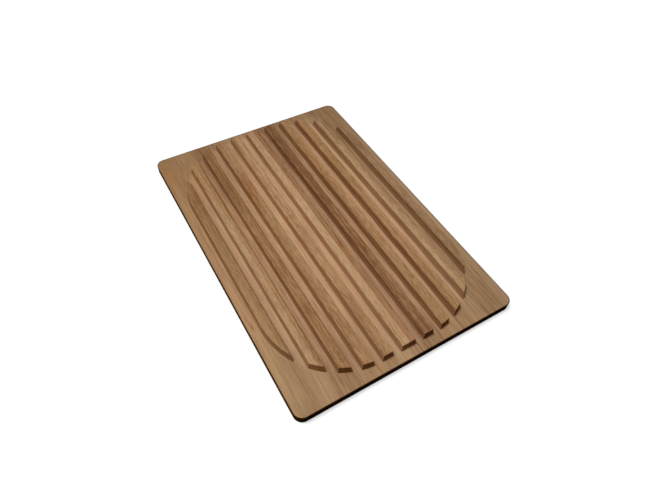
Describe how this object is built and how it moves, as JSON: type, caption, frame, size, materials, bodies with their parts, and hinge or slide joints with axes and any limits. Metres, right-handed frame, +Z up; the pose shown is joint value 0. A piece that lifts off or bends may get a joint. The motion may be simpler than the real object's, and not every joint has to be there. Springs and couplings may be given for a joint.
{
  "type": "bread board",
  "caption": "Flat wooden bread board glued up from edge-joined staves, with milled lengthwise ridges, crumb grooves between them and a low flat border with rounded corners.",
  "frame": {"origin": "middle of the flat underside, on the surface that the board lies on", "axes": "+Z up, out of the ridged face; +Y along the board's length, the grain and the ridges; +X to the right"},
  "size_m": [0.3, 0.44, 0.023],
  "materials": {
    "wood_pale": "oiled hardwood, satin, grain along the length",
    "wood_mid": "oiled hardwood, satin, grain along the length",
    "wood_brown": "oiled hardwood, satin, grain along the length",
    "wood_dark": "oiled hardwood, satin, grain along the length"
  },
  "bodies": {
    "root": {"left_edge_stave": "wood_mid", "stave_02": "wood_pale", "stave_03": "wood_brown", "stave_04": "wood_brown", "stave_05": "wood_mid", "stave_06": "wood_pale", "stave_07": "wood_dark", "stave_08": "wood_mid", "stave_09": "wood_mid", "stave_10": "wood_pale", "right_edge_stave": "wood_mid"}
  },
  "joints": []
}
